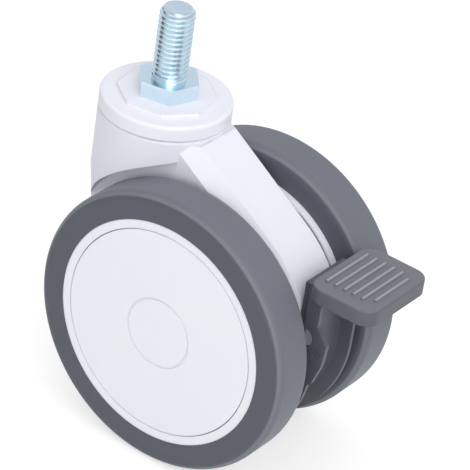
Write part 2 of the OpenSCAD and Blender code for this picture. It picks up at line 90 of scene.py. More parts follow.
lens = bpy.data.cameras.new("photo_camera")
lens.sensor_width = 36.0
lens.lens = 242.0
lens.clip_start = 0.05
camera = bpy.data.objects.new("photo_camera", lens)
camera.matrix_world = Matrix.Translation(VIEW_AIM + back * VIEW_DISTANCE) @ Matrix((
    (right.x, up.x, back.x, 0.0),
    (right.y, up.y, back.y, 0.0),
    (right.z, up.z, back.z, 0.0),
    (0.0, 0.0, 0.0, 1.0)))
scene.collection.objects.link(camera)
scene.camera = camera
print("camera at", [round(v, 3) for v in camera.location])

# %% [markdown]
# ## Helpers for finishes
# Colours are written as sRGB hex values, the way a paint picker shows them, and
# one function turns them into the linear values that Blender mixes with. Another
# adds one node, sets it and links it, for shader and geometry trees alike. Nodes
# could be added one line at a time, but then the links would hide what is set.

# %% Colour and node helpers
def linear(hex_code):
    """The linear RGBA of an sRGB hex colour, by the curve of the sRGB standard."""
    parts = [int(hex_code[i:i + 2], 16) / 255 for i in (0, 2, 4)]
    return [p / 12.92 if p <= 0.04045 else ((p + 0.055) / 1.055) ** 2.4 for p in parts] + [1.0]


def add_node(tree, kind, inputs=None, **settings):
    """Adds a node, applies its settings, and sets or links its inputs."""
    made = tree.nodes.new(kind)
    for name, value in settings.items():
        setattr(made, name, value)
    for key, value in (inputs or {}).items():
        if isinstance(value, bpy.types.NodeSocket):
            tree.links.new(value, made.inputs[key])
        else:
            made.inputs[key].default_value = value
    return made


print("white in linear:", [round(v, 3) for v in linear("EEEFF5")])

# %% [markdown]
# Every finish here begins in the same way: two close tones, mixed in soft clouds of
# a real size, because no moulded, ground or plated surface has one even colour. The
# clouds read Object coordinates, so they stay on the piece when it moves.

# %% Start of a finish
# A Mix node has one set of sockets for each type of data, under the same names, so
# its colour sockets are told apart by their numbers.
MIX_BY, MIX_FROM, MIX_TO, MIXED = 0, 6, 7, 2


def new_finish(name):
    """A material with an empty node tree."""
    finish = bpy.data.materials.new(name)
    finish.use_nodes = True
    finish.node_tree.nodes.clear()
    return finish, finish.node_tree


def clouded(tree, size, low_tone, high_tone, detail=3.0, distortion=0.0):
    """Two tones in clouds of a given size: the coordinates, the clouds and the tone."""
    place = add_node(tree, "ShaderNodeTexCoord").outputs["Object"]
    cloud = add_node(tree, "ShaderNodeTexNoise", {
        "Vector": place, "Scale": 1 / size, "Detail": detail, "Distortion": distortion})
    tone = add_node(tree, "ShaderNodeMix", {
        MIX_BY: cloud.outputs["Fac"], MIX_FROM: linear(low_tone), MIX_TO: linear(high_tone)},
        data_type="RGBA")
    return place, cloud.outputs["Fac"], tone.outputs[MIXED]


print("colour sockets of a Mix node:", MIX_BY, MIX_FROM, MIX_TO, "and", MIXED, "out")

# %% [markdown]
# ## White moulded nylon
# The fork, its cap, the hubs and the covers are injection-moulded in a cool white.
# The wheels' white is painted brightest and the cap's lies between it and the fork's: lighter
# copies of the one white, as painted light on faces the lamps light less.
# The tool's fine spark texture breaks the highlights, and every edge has the small
# radius that lets a moulding leave its tool. The edges could be bevelled in the mesh,
# but a Bevel node rounds them for the light alone, which keeps the CAD shape as it is.

# %% White moulded nylon
TONE_DRIFT = 25 * MM    # tone drifts slowly in a thick moulding
SPARK_GRAIN = 0.7 * MM  # about 0.1 mm on the tool, drawn coarser so that it shows
SPARK_DEPTH = 0.03 * MM
MOULDED_EDGE = 0.5 * MM
EDGE_SAMPLES = 6
NYLON_IOR = 1.53


def moulded_white(name, low_tone, high_tone):
    """White nylon with a slow drift of tone and a spark texture."""
    finish, tree = new_finish(name)
    place, _, tone = clouded(tree, TONE_DRIFT, low_tone, high_tone, detail=2.0)
    spark = add_node(tree, "ShaderNodeTexNoise", {
        "Vector": place, "Scale": 1 / SPARK_GRAIN, "Detail": 3.0})
    gloss = add_node(tree, "ShaderNodeMapRange", {
        "Value": spark.outputs["Fac"], "To Min": 0.36, "To Max": 0.46})
    soft_edge = add_node(tree, "ShaderNodeBevel", {"Radius": MOULDED_EDGE}, samples=EDGE_SAMPLES)
    grain = add_node(tree, "ShaderNodeBump", {
        "Strength": 0.12, "Distance": SPARK_DEPTH,
        "Height": spark.outputs["Fac"], "Normal": soft_edge.outputs["Normal"]})
    skin = add_node(tree, "ShaderNodeBsdfPrincipled", {
        "Base Color": tone, "Roughness": gloss.outputs["Result"], "IOR": NYLON_IOR,
        "Normal": grain.outputs["Normal"]})
    add_node(tree, "ShaderNodeOutputMaterial", {"Surface": skin.outputs["BSDF"]})
    return finish


white_nylon = moulded_white("white_moulded_nylon", "E8E9F4", "EEEFF8")
# Painted light: the hubs' white and the cap's are lighter copies of the fork's white, brightened
# to stand in for light on their faces.
painted_bright_hub_nylon = moulded_white("hub_nylon_painted_brighter", "F4F5FE", "F9FAFF")
painted_light_cap_nylon = moulded_white("cap_nylon_painted_lighter", "EEEFF9", "F3F4FC")
print("made", white_nylon.name, painted_bright_hub_nylon.name, "and", painted_light_cap_nylon.name)

# %% [markdown]
# ## Grey thermoplastic rubber
# The tyres are a matt blue-grey rubber moulded on the hubs. The tread is painted paler
# than the sidewalls, as painted light from above, and a paler band between them is a
# painted highlight on the shoulder. These could be painted on a UV map, but the distance
# from the axle tells tread, band and sidewall apart on both wheels at once. Rubber
# scatters light widely, so a little sheen lightens it where it turns away.

# %% Grey rubber: the tones
TYRE_DRIFT = 12 * MM
AXLE_X = 31.65 * MM
AXLE_Z = -71.6 * MM
# Reaches from the axle of the tread's painted light and of the shoulder's painted highlight.
PAINTED_TREAD_LIGHT_FROM = 48.2 * MM
PAINTED_TREAD_LIGHT_FULL = 49.0 * MM
HIGHLIGHT_BAND_MIDDLE = 48.9 * MM
HIGHLIGHT_BAND_FULL = 0.1 * MM
HIGHLIGHT_BAND_END = 0.7 * MM

tyre_rubber, tree = new_finish("grey_thermoplastic_rubber")
place, _, moulded = clouded(tree, TYRE_DRIFT, "4C505B", "535762")
from_axle = add_node(tree, "ShaderNodeMapping", {
    "Vector": place, "Location": (-AXLE_X, 0.0, -AXLE_Z), "Scale": (1.0, 0.0, 1.0)})
reach = add_node(tree, "ShaderNodeVectorMath", {0: from_axle.outputs["Vector"]},
                 operation="LENGTH").outputs["Value"]
# Painted light: far from the axle the tread is painted paler, standing in for light from above.
painted_paler = add_node(tree, "ShaderNodeMapRange", {
    "Value": reach, "From Min": PAINTED_TREAD_LIGHT_FROM, "From Max": PAINTED_TREAD_LIGHT_FULL})
with_painted_tread_light = add_node(tree, "ShaderNodeMix", {
    MIX_BY: painted_paler.outputs["Result"], MIX_FROM: moulded, MIX_TO: linear("6B6F79")},
    data_type="RGBA")
# Painted highlight: a pale ring is painted on the shoulder between sidewall and tread.
past_highlight_band = add_node(tree, "ShaderNodeMath", {0: reach, 1: HIGHLIGHT_BAND_MIDDLE}, operation="SUBTRACT")
off_highlight_band = add_node(tree, "ShaderNodeMath", {0: past_highlight_band.outputs[0]}, operation="ABSOLUTE")
painted_shoulder_highlight = add_node(tree, "ShaderNodeMapRange", {
    "Value": off_highlight_band.outputs[0], "From Min": HIGHLIGHT_BAND_FULL, "From Max": HIGHLIGHT_BAND_END,
    "To Min": 1.0, "To Max": 0.0})
tone = add_node(tree, "ShaderNodeMix", {
    MIX_BY: painted_shoulder_highlight.outputs["Result"], MIX_FROM: with_painted_tread_light.outputs[MIXED], MIX_TO: linear("767A82")},
    data_type="RGBA")
print("tread is buffed beyond", round(PAINTED_TREAD_LIGHT_FROM / MM, 1), "mm from the axle")

# %% Grey rubber: the skin
RUBBER_GRAIN = 0.6 * MM  # about 0.2 mm on the real skin, drawn coarser so that it shows
RUBBER_DEPTH = 0.04 * MM
RUBBER_EDGE = 0.6 * MM

grains = add_node(tree, "ShaderNodeTexNoise", {
    "Vector": place, "Scale": 1 / RUBBER_GRAIN, "Detail": 4.0})
dull = add_node(tree, "ShaderNodeMapRange", {
    "Value": grains.outputs["Fac"], "To Min": 0.52, "To Max": 0.68})
soft_edge = add_node(tree, "ShaderNodeBevel", {"Radius": RUBBER_EDGE}, samples=EDGE_SAMPLES)
bump = add_node(tree, "ShaderNodeBump", {
    "Strength": 0.2, "Distance": RUBBER_DEPTH,
    "Height": grains.outputs["Fac"], "Normal": soft_edge.outputs["Normal"]})
skin = add_node(tree, "ShaderNodeBsdfPrincipled", {
    "Base Color": tone.outputs[MIXED], "Roughness": dull.outputs["Result"], "IOR": 1.5,
    "Sheen Weight": 0.25, "Sheen Roughness": 0.5, "Sheen Tint": linear("C8CDD6"),
    "Normal": bump.outputs["Normal"]})
add_node(tree, "ShaderNodeOutputMaterial", {"Surface": skin.outputs["BSDF"]})
print("made", tyre_rubber.name)

# %% [markdown]
# ## Grey filled nylon
# The pedal is one moulding of glass-filled nylon in a neutral grey. The fibres leave
# a slightly mottled, satin skin, which is coarser than the white parts'. The pad's top
# is painted a little paler, as painted light from above, and the crests of its ribs
# paler still, as a painted highlight. A painted mask could show that, but the height
# alone does, because the top and the crests stand highest.

# %% Grey filled nylon: the tones
FLOW_MARKS = 8 * MM
PAD_TOP = -37.2 * MM
RIB_CREST = -36.5 * MM
# Depths and strengths of the painted light on the pad's top and the painted highlight on the rib
# crests.
PAD_PAINTED_LIGHT_DEPTH = 0.4 * MM
RIB_HIGHLIGHT_FROM = 0.28 * MM
RIB_HIGHLIGHT_FULL = 0.06 * MM
PAD_PAINTED_LIGHT = 0.26
RIB_PAINTED_HIGHLIGHT = 0.9

pedal_nylon, tree = new_finish("grey_glass_filled_nylon")
place, _, grey = clouded(tree, FLOW_MARKS, "56575F", "5F6069", detail=4.0, distortion=0.6)
height_at = add_node(tree, "ShaderNodeSeparateXYZ", {"Vector": place}).outputs["Z"]
# Painted light: the pad's top is painted paler, and the rib crests paler still as a painted
# highlight.
painted_pad_light = add_node(tree, "ShaderNodeMapRange", {
    "Value": height_at, "From Min": PAD_TOP - PAD_PAINTED_LIGHT_DEPTH, "From Max": PAD_TOP,
    "To Min": 0.0, "To Max": PAD_PAINTED_LIGHT})
painted_top_and_crests = add_node(tree, "ShaderNodeMapRange", {
    "Value": height_at, "From Min": RIB_CREST - RIB_HIGHLIGHT_FROM,
    "From Max": RIB_CREST - RIB_HIGHLIGHT_FULL,
    "To Min": painted_pad_light.outputs["Result"], "To Max": RIB_PAINTED_HIGHLIGHT})
tone = add_node(tree, "ShaderNodeMix", {
    MIX_BY: painted_top_and_crests.outputs["Result"], MIX_FROM: grey, MIX_TO: linear("A0A1A9")},
    data_type="RGBA")
print("ribs stand", round((RIB_CREST - PAD_TOP) / MM, 1), "mm above the pad")

# %% Grey filled nylon: the skin
FIBRE_GRAIN = 0.8 * MM  # fibre ends are far finer, drawn coarser so that they show
FIBRE_DEPTH = 0.04 * MM

fibre = add_node(tree, "ShaderNodeTexNoise", {
    "Vector": place, "Scale": 1 / FIBRE_GRAIN, "Detail": 3.0})
satin = add_node(tree, "ShaderNodeMapRange", {
    "Value": fibre.outputs["Fac"], "To Min": 0.4, "To Max": 0.54})
soft_edge = add_node(tree, "ShaderNodeBevel", {"Radius": MOULDED_EDGE}, samples=EDGE_SAMPLES)
bump = add_node(tree, "ShaderNodeBump", {
    "Strength": 0.2, "Distance": FIBRE_DEPTH,
    "Height": fibre.outputs["Fac"], "Normal": soft_edge.outputs["Normal"]})
skin = add_node(tree, "ShaderNodeBsdfPrincipled", {
    "Base Color": tone.outputs[MIXED], "Roughness": satin.outputs["Result"],
    "IOR": NYLON_IOR, "Normal": bump.outputs["Normal"]})
add_node(tree, "ShaderNodeOutputMaterial", {"Surface": skin.outputs["BSDF"]})
print("made", pedal_nylon.name)

# %% [markdown]
# ## Blue-passivated zinc
# The stem is steel with bright electroplated zinc, and the passivation gives it a
# faint blue. Plating follows the turned surface below it, so the shine is clear with
# a slight, cloudy change of gloss. The rolled thread, above the hexagon, is set a
# shade darker. Two materials could show that, but one that darkens with height keeps
# the stem a single piece of metal.

# %% Blue-passivated zinc
PLATING_CLOUDS = 4 * MM
THREAD_TONE_FROM = 0.05 * MM
THREAD_TONE_FULL = 0.3 * MM
DEBURRED_EDGE = 0.12 * MM

zinc_plate, tree = new_finish("blue_passivated_zinc")
place, cloud, plating = clouded(tree, PLATING_CLOUDS, "D0E8F6", "EAF7FB")
height_at = add_node(tree, "ShaderNodeSeparateXYZ", {"Vector": place}).outputs["Z"]
on_thread = add_node(tree, "ShaderNodeMapRange", {
    "Value": height_at, "From Min": THREAD_TONE_FROM, "From Max": THREAD_TONE_FULL})
tone = add_node(tree, "ShaderNodeMix", {
    MIX_BY: on_thread.outputs["Result"], MIX_FROM: plating, MIX_TO: linear("F8F7F7")},
    data_type="RGBA", blend_type="MULTIPLY")
shine = add_node(tree, "ShaderNodeMapRange", {"Value": cloud, "To Min": 0.16, "To Max": 0.3})
soft_edge = add_node(tree, "ShaderNodeBevel", {"Radius": DEBURRED_EDGE}, samples=EDGE_SAMPLES)
skin = add_node(tree, "ShaderNodeBsdfPrincipled", {
    "Base Color": tone.outputs[MIXED], "Metallic": 1.0, "Roughness": shine.outputs["Result"],
    "Normal": soft_edge.outputs["Normal"]})
add_node(tree, "ShaderNodeOutputMaterial", {"Surface": skin.outputs["BSDF"]})
print("made", zinc_plate.name)

# %% [markdown]
# ## Ground bearing steel
# The axle, the balls and the races are ground bright. They are hidden in the castor,
# but keep their own finish for anyone who takes it apart. Grinding lines run round the
# axle, so the noise is squeezed along it with a Mapping node, and an image isn't needed.

# %% Ground bearing steel
GRINDING_LINES = 0.5 * MM  # about 0.3 mm apart on the real axle, drawn coarser
LINE_LENGTH = 12.5 * MM

ground_steel, tree = new_finish("ground_bearing_steel")
place = add_node(tree, "ShaderNodeTexCoord").outputs["Object"]
along = add_node(tree, "ShaderNodeMapping", {
    "Vector": place, "Scale": (1 / LINE_LENGTH, 1 / GRINDING_LINES, 1 / LINE_LENGTH)})
lines = add_node(tree, "ShaderNodeTexNoise", {
    "Vector": along.outputs["Vector"], "Scale": 1.0, "Detail": 2.0})
polish = add_node(tree, "ShaderNodeMapRange", {
    "Value": lines.outputs["Fac"], "To Min": 0.18, "To Max": 0.32})
tone = add_node(tree, "ShaderNodeMix", {
    MIX_BY: lines.outputs["Fac"], MIX_FROM: linear("B9BBBE"), MIX_TO: linear("C9CBCE")},
    data_type="RGBA")
skin = add_node(tree, "ShaderNodeBsdfPrincipled", {
    "Base Color": tone.outputs[MIXED], "Metallic": 1.0, "Roughness": polish.outputs["Result"]})
add_node(tree, "ShaderNodeOutputMaterial", {"Surface": skin.outputs["BSDF"]})
print("made", ground_steel.name)

# %% [markdown]
# ## Spring steel, phosphated steel and bearing plastic
# The clips and the retaining ring are dark tempered spring steel, which keeps faint
# marks of scale. The pedal's pin is phosphated, which leaves a dull dark coat of fine
# crystals, and the bush and the sleeves are a waxy cream acetal. Each could be a flat
# colour, but clouds of a real size cost three nodes and give each its own look.

# %% Tempered spring steel
SCALE_MARKS = 2 * MM

spring_steel, tree = new_finish("tempered_spring_steel")
_, marks, tone = clouded(tree, SCALE_MARKS, "3E4046", "585A60", detail=4.0)
dull = add_node(tree, "ShaderNodeMapRange", {"Value": marks, "To Min": 0.35, "To Max": 0.5})
skin = add_node(tree, "ShaderNodeBsdfPrincipled", {
    "Base Color": tone, "Metallic": 1.0, "Roughness": dull.outputs["Result"]})
add_node(tree, "ShaderNodeOutputMaterial", {"Surface": skin.outputs["BSDF"]})
print("made", spring_steel.name)

# %% Phosphated steel
CRYSTALS = 0.5 * MM  # far finer on the real pin, drawn coarser so that they show

phosphated_steel, tree = new_finish("phosphated_steel")
_, _, tone = clouded(tree, CRYSTALS, "4C4D52", "57585D")
skin = add_node(tree, "ShaderNodeBsdfPrincipled", {"Base Color": tone, "Roughness": 0.6})
add_node(tree, "ShaderNodeOutputMaterial", {"Surface": skin.outputs["BSDF"]})
print("made", phosphated_steel.name)

# %% Cream acetal
ACETAL_DRIFT = 5 * MM

cream_acetal, tree = new_finish("cream_acetal")
_, drift, tone = clouded(tree, ACETAL_DRIFT, "DAD6C8", "E4E0D3", detail=2.0)
waxy = add_node(tree, "ShaderNodeMapRange", {"Value": drift, "To Min": 0.3, "To Max": 0.4})
skin = add_node(tree, "ShaderNodeBsdfPrincipled", {
    "Base Color": tone, "Roughness": waxy.outputs["Result"], "IOR": 1.48})
add_node(tree, "ShaderNodeOutputMaterial", {"Surface": skin.outputs["BSDF"]})
print("made", cream_acetal.name)

# %% [markdown]
# ## Give each solid its finish
# Every CAD node keeps its shape and gets the finish of its real material. A table
# from finish to nodes is easier to read and to change than one line per node.

# %% Assign the finishes
SIDES = ("left", "right")
nodes_in = (
    (white_nylon, ["fork"]),
    (painted_light_cap_nylon, ["cap"]),
    (painted_bright_hub_nylon, [side + part for side in SIDES for part in ("_hub", "_cover")]),
    (tyre_rubber, [side + "_tyre" for side in SIDES]),
    (pedal_nylon, ["pedal", "brake_shoe"]),
    (zinc_plate, ["stem"]),
    (ground_steel, ["axle", "upper_race", "lower_race", "swivel_balls"]),
    (ground_steel, [side + "_bearing_" + ring for side in SIDES
                    for ring in ("inner", "outer", "balls")]),
    (spring_steel, ["retaining_ring"] + [side + "_clip" for side in SIDES]),
    (phosphated_steel, ["pedal_pin"]),
    (cream_acetal, ["bush"] + [side + "_sleeve" for side in SIDES]),
)
finish_of = {name: finish for finish, names in nodes_in for name in names}
for name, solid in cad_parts.items():
    for slot in solid.material_slots:
        slot.material = finish_of[name]
print("finished", len(finish_of), "of", len(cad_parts), "nodes")

# %% [markdown]
# ## The screw thread
# The stem carries a metric thread of 1.75 mm pitch. A thread could be a stack of
# rings or a Screw modifier, but a grid bent round the axis by Geometry Nodes keeps
# every row on the helix, so crests and roots stay sharp. Row after row follows the
# 60 degree profile, each row climbs one pitch in a turn, and the rows at both ends
# are clamped flat and drawn in to the axis, which closes the bar.

# %% Sizes of the stem
stem_low, stem_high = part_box("stem")
STEM_RADIUS = 6 * MM
STEM_TOP = stem_high[2]
THREAD_PITCH = 1.75 * MM
THREAD_DEPTH = 1.07 * MM
THREAD_START = 0.2 * MM
TIP_CHAMFER = 1.3 * MM
ROOT_SINK = 0.6 * MM
POINTS_ROUND = 97
ROWS_PER_TURN = 16
CREST_END, ROOT_START, ROOT_END = 2.0, 7.0, 11.0  # rows of one turn
turns = (STEM_TOP + ROOT_SINK) / THREAD_PITCH
row_count = ROWS_PER_TURN * (math.ceil(turns) + 1) + 3
print("stem of", round(STEM_TOP / MM, 2), "mm:", round(turns, 1), "turns,", row_count, "rows")

# %% Thread tree: sizes in, grid out
MATH = "ShaderNodeMath"
thread_tree = bpy.data.node_groups.new("helical_thread", "GeometryNodeTree")
thread_sizes = {"Radius": STEM_RADIUS, "Pitch": THREAD_PITCH, "Depth": THREAD_DEPTH,
                "Top": STEM_TOP, "Bottom": -ROOT_SINK, "Start": THREAD_START,
                "Chamfer": TIP_CHAMFER}
thread_sockets = {}
for name, size in thread_sizes.items():
    socket = thread_tree.interface.new_socket(
        name, in_out="INPUT", socket_type="NodeSocketFloat")
    thread_sockets[name] = socket.identifier
thread_tree.interface.new_socket("Geometry", in_out="OUTPUT", socket_type="NodeSocketGeometry")
given = add_node(thread_tree, "NodeGroupInput").outputs
grid = add_node(thread_tree, "GeometryNodeMeshGrid", {
    "Size X": 1.0, "Size Y": 1.0, "Vertices X": POINTS_ROUND, "Vertices Y": row_count})
position = add_node(thread_tree, "GeometryNodeInputPosition")
spot = add_node(thread_tree, "ShaderNodeSeparateXYZ", {"Vector": position.outputs[0]})
# The grid is 1 m wide about its middle, so half a metre is added to count from its corner.
turn = add_node(thread_tree, MATH, {0: spot.outputs["X"], 1: 0.5}, operation="ADD")
row_share = add_node(thread_tree, MATH, {0: spot.outputs["Y"], 1: 0.5}, operation="ADD")
row_raw = add_node(thread_tree, MATH, {0: row_share.outputs[0], 1: row_count - 1.0},
                   operation="MULTIPLY")
row = add_node(thread_tree, MATH, {0: row_raw.outputs[0]}, operation="ROUND")
print("thread grid:", POINTS_ROUND * row_count, "points")

# %% Thread tree: height of each point on the helix
row_turns = add_node(thread_tree, MATH, {0: row.outputs[0], 1: ROWS_PER_TURN},
                     operation="DIVIDE")
climb = add_node(thread_tree, MATH, {0: row_turns.outputs[0], 1: turn.outputs[0]},
                 operation="ADD")
# One turn is taken off, so that the first rows start below the bar and are clamped.
climb_in = add_node(thread_tree, MATH, {0: climb.outputs[0], 1: 1.0}, operation="SUBTRACT")
rise = add_node(thread_tree, MATH,
                {0: climb_in.outputs[0], 1: given["Pitch"], 2: given["Bottom"]},
                operation="MULTIPLY_ADD")
height = add_node(thread_tree, "ShaderNodeClamp", {
    "Value": rise.outputs[0], "Min": given["Bottom"], "Max": given["Top"]})
print("rows climb", round(THREAD_PITCH / MM, 2), "mm a turn")

# %% Thread tree: the profile and its run-out
phase = add_node(thread_tree, MATH, {0: row.outputs[0], 1: ROWS_PER_TURN}, operation="MODULO")
fall = add_node(thread_tree, "ShaderNodeMapRange", {
    "Value": phase.outputs[0], "From Min": CREST_END, "From Max": ROOT_START})
lift = add_node(thread_tree, "ShaderNodeMapRange", {
    "Value": phase.outputs[0], "From Min": ROOT_END, "From Max": ROWS_PER_TURN})
groove = add_node(thread_tree, MATH, {0: fall.outputs["Result"], 1: lift.outputs["Result"]},
                  operation="SUBTRACT")
full_from = add_node(thread_tree, MATH, {0: given["Start"], 1: given["Pitch"]},
                     operation="ADD")
runout = add_node(thread_tree, "ShaderNodeMapRange", {
    "Value": height.outputs[0], "From Min": given["Start"], "From Max": full_from.outputs[0]},
    interpolation_type="SMOOTHSTEP")
cut = add_node(thread_tree, MATH, {0: groove.outputs[0], 1: runout.outputs["Result"]},
               operation="MULTIPLY")
cut_depth = add_node(thread_tree, MATH, {0: cut.outputs[0], 1: given["Depth"]},
                     operation="MULTIPLY")
thread_reach = add_node(thread_tree, MATH, {0: given["Radius"], 1: cut_depth.outputs[0]},
                        operation="SUBTRACT")
print("profile: crest to row", CREST_END, "and root from", ROOT_START, "to", ROOT_END)

# %% Thread tree: the chamfered tip
tip_from = add_node(thread_tree, MATH, {0: given["Top"], 1: given["Chamfer"]},
                    operation="SUBTRACT")
tip_radius = add_node(thread_tree, MATH, {0: given["Radius"], 1: given["Chamfer"]},
                      operation="SUBTRACT")
tip = add_node(thread_tree, "ShaderNodeMapRange", {
    "Value": height.outputs[0], "From Min": tip_from.outputs[0], "From Max": given["Top"],
    "To Min": given["Radius"], "To Max": tip_radius.outputs[0]})
radius = add_node(thread_tree, MATH, {0: thread_reach.outputs[0], 1: tip.outputs["Result"]},
                  operation="MINIMUM")
print("tip chamfer:", round(TIP_CHAMFER / MM, 2), "mm")

# %% Thread tree: bend the grid round the axis
after_first = add_node(thread_tree, MATH, {0: row.outputs[0], 1: 0.5},
                       operation="GREATER_THAN")
before_last = add_node(thread_tree, MATH, {0: row.outputs[0], 1: row_count - 1.5},
                       operation="LESS_THAN")
inside = add_node(thread_tree, MATH, {0: after_first.outputs[0], 1: before_last.outputs[0]},
                  operation="MULTIPLY")
ring = add_node(thread_tree, MATH, {0: radius.outputs[0], 1: inside.outputs[0]},
                operation="MULTIPLY")
angle = add_node(thread_tree, MATH, {0: turn.outputs[0], 1: 2 * math.pi}, operation="MULTIPLY")
cosine = add_node(thread_tree, MATH, {0: angle.outputs[0]}, operation="COSINE")
sine = add_node(thread_tree, MATH, {0: angle.outputs[0]}, operation="SINE")
x = add_node(thread_tree, MATH, {0: cosine.outputs[0], 1: ring.outputs[0]},
             operation="MULTIPLY")
y = add_node(thread_tree, MATH, {0: sine.outputs[0], 1: ring.outputs[0]}, operation="MULTIPLY")
bent_to = add_node(thread_tree, "ShaderNodeCombineXYZ", {
    "X": x.outputs[0], "Y": y.outputs[0], "Z": height.outputs[0]})
bent = add_node(thread_tree, "GeometryNodeSetPosition", {
    "Geometry": grid.outputs["Mesh"], "Position": bent_to.outputs[0]})
print("first and last rows are drawn in to the axis")

# %% Thread tree: close it and finish it
MERGE_WITHIN = 0.002 * MM
THREAD_CREASE = math.radians(20)

closed = add_node(thread_tree, "GeometryNodeMergeByDistance", {
    "Geometry": bent.outputs[0], "Distance": MERGE_WITHIN})
smooth = add_node(thread_tree, "GeometryNodeSetShadeSmooth", {
    "Geometry": closed.outputs[0]}, domain="FACE")
bend_angle = add_node(thread_tree, "GeometryNodeInputMeshEdgeAngle")
crease = add_node(thread_tree, MATH, {0: bend_angle.outputs[0], 1: THREAD_CREASE},
                  operation="GREATER_THAN")
sharp = add_node(thread_tree, "GeometryNodeSetShadeSmooth", {
    "Geometry": smooth.outputs[0], "Selection": crease.outputs[0], "Shade Smooth": False},
    domain="EDGE")
real = add_node(thread_tree, "GeometryNodeRealizeInstances", {0: sharp.outputs[0]})
plated = add_node(thread_tree, "GeometryNodeSetMaterial", {
    "Geometry": real.outputs[0], "Material": zinc_plate})
add_node(thread_tree, "NodeGroupOutput", {0: plated.outputs[0]})
print("thread tree:", len(thread_tree.nodes), "nodes")

# %% Turn the thread into a plain mesh
maker = bpy.data.objects.new("thread_maker", bpy.data.meshes.new("thread_maker"))
scene.collection.objects.link(maker)
modifier = maker.modifiers.new("thread", "NODES")
modifier.node_group = thread_tree
for name, size in thread_sizes.items():
    modifier[thread_sockets[name]] = size
evaluated = maker.evaluated_get(bpy.context.evaluated_depsgraph_get())
thread_mesh = bpy.data.meshes.new_from_object(evaluated)
maker.modifiers.remove(modifier)
bpy.data.objects.remove(maker)
stem_thread = bpy.data.objects.new("stem_thread", thread_mesh)
scene.collection.objects.link(stem_thread)
print("thread:", len(thread_mesh.vertices), "points,", len(thread_mesh.polygons), "faces")

# %% [markdown]
# ## The hexagon and the shank
# Below the thread the stem is a hexagon for a 19 mm spanner, and a round shank
# that turns in the fork. They were cut from one bar. A cylinder primitive could make
# each, but two short lofts from rings of points give clean edges at the right turn,
# and a bevel of the sharp edges breaks them as a deburred bar has them.

# %% Turned pieces from mesh code
import bmesh

TURNED_CREASE = math.radians(25)


def turned_piece(name, shape, finish):
    """An object from a bmesh, smooth where it is round and sharp at its edges."""
    for face in shape.faces:
        face.smooth = True
    for edge in shape.edges:
        edge.smooth = edge.calc_face_angle(0.0) < TURNED_CREASE
    mesh = bpy.data.meshes.new(name)
    shape.to_mesh(mesh)
    shape.free()
    mesh.materials.append(finish)
    piece = bpy.data.objects.new(name, mesh)
    scene.collection.objects.link(piece)
    return piece


print("edges are sharp over", round(math.degrees(TURNED_CREASE)), "degrees")

# %% Build the hexagon and shank
HEX_FLATS = 19 * MM
HEX_HEIGHT = 5.6 * MM
HEX_TURN = math.radians(12)
SHANK_RADIUS = 8 * MM
SHANK_STEPS = 72
SHANK_LAP = 0.2 * MM
BROKEN_EDGE = 0.25 * MM
BROKEN_OVER = math.radians(30)
hex_radius = HEX_FLATS / 2 / math.cos(math.pi / 6)
hex_points = [(hex_radius, HEX_TURN + i * math.pi / 3) for i in range(6)]
shank_points = [(SHANK_RADIUS, i * 2 * math.pi / SHANK_STEPS) for i in range(SHANK_STEPS)]

bar = bmesh.new()
for points, low, high in ((hex_points, -HEX_HEIGHT, 0.0),
                          (shank_points, stem_low[2], -HEX_HEIGHT + SHANK_LAP)):
    rings = [[bar.verts.new((r * math.cos(a), r * math.sin(a), z)) for r, a in points]
             for z in (low, high)]
    count = len(points)
    for i in range(count):
        j = (i + 1) % count
        bar.faces.new((rings[0][i], rings[0][j], rings[1][j], rings[1][i]))
    bar.faces.new(rings[1])
    bar.faces.new(list(reversed(rings[0])))
broken = [edge for edge in bar.edges if edge.calc_face_angle(0.0) > BROKEN_OVER]
bmesh.ops.bevel(bar, geom=broken, offset=BROKEN_EDGE, segments=2, affect="EDGES", profile=0.5)
stem_hexagon = turned_piece("stem_hexagon", bar, zinc_plate)
print("hexagon and shank:", len(stem_hexagon.data.polygons), "faces")

# %% Let both ride on the stem
for piece in (stem_thread, stem_hexagon):
    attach(piece, "stem")
    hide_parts("stem")
print("stem dressed")

# %% [markdown]
# ## The rims' inner lips
# Each rim runs on past its tyre, almost to the fork's side, so a white ring and a
# fine dark gap show beside the drum. A lip is a plain turned ring. A Screw modifier
# could turn it, but a profile of four points, spun about the axle in code, makes it
# with few faces and leaves it at the origin.

# %% Build the lips
LIP_STEPS = 128
LIP_INNER, LIP_OUTER = 39.2 * MM, 40.25 * MM
LIP_NEAR, LIP_FAR = 14.3 * MM, 16.75 * MM
LIP_PROFILE = ((LIP_INNER, LIP_NEAR), (LIP_OUTER, LIP_NEAR),
               (LIP_OUTER, LIP_FAR), (LIP_INNER, LIP_FAR))
corners = len(LIP_PROFILE)
for side, sign in (("left", -1.0), ("right", 1.0)):
    lip = bmesh.new()
    loops = []
    for step in range(LIP_STEPS):
        swing = 2 * math.pi * step / LIP_STEPS
        loops.append([lip.verts.new((AXLE_X + r * math.cos(swing), sign * y,
                                     AXLE_Z + r * math.sin(swing))) for r, y in LIP_PROFILE])
    for step, here in enumerate(loops):
        there = loops[(step + 1) % LIP_STEPS]
        for k in range(corners):
            after = (k + 1) % corners
            lip.faces.new((here[k], here[after], there[after], there[k]))
    bmesh.ops.recalc_face_normals(lip, faces=lip.faces)
    rim_lip = turned_piece(side + "_rim_lip", lip, painted_bright_hub_nylon)
    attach(rim_lip, side + "_wheel")
print("lips:", len(SIDES) * corners * LIP_STEPS, "faces")

# %% [markdown]
# ## The floor
# The castor stands on a white sweep. More light could make the paper white, but it
# would burn out the white mouldings too. So the paper is a mid grey that takes the
# shadow, and a glow that only the camera and mirrors see lifts it to white.

# %% White floor
FLOOR_HALF = 3.0
FLOOR_GAP = 0.05 * MM
PAPER_GREY = 0.6
PAPER_GLOW = 0.55
WHITE = (1.0, 1.0, 1.0, 1.0)


